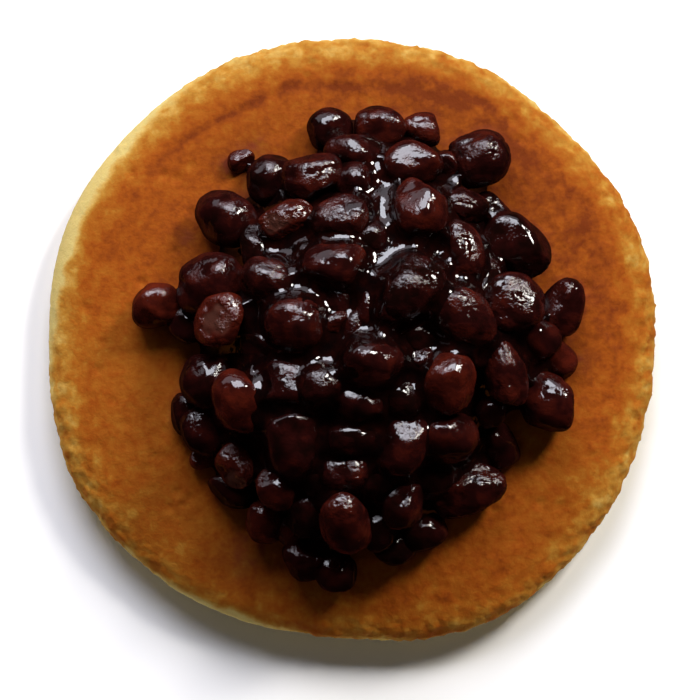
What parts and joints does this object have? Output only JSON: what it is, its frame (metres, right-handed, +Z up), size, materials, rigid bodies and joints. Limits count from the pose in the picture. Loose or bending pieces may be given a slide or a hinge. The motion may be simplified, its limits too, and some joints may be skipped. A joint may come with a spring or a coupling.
{
  "type": "open dorayaki",
  "caption": "Round browned castella pancake, domed, with an uneven mound of whole sweet azuki beans in dark syrup on its top.",
  "frame": {"origin": "middle of the flat round the pancake rests on", "axes": "+Z up through the bean mound; +Y towards the far edge of the mound as it is shown, +X to the right"},
  "size_m": [0.0895, 0.0887, 0.0327],
  "materials": {
    "crust": "matte, softly browned sponge skin with a paler rim",
    "beans": "glossy, wet with syrup"
  },
  "bodies": {
    "root": {"pancake": "crust", "bean_heap": "beans"}
  },
  "joints": []
}
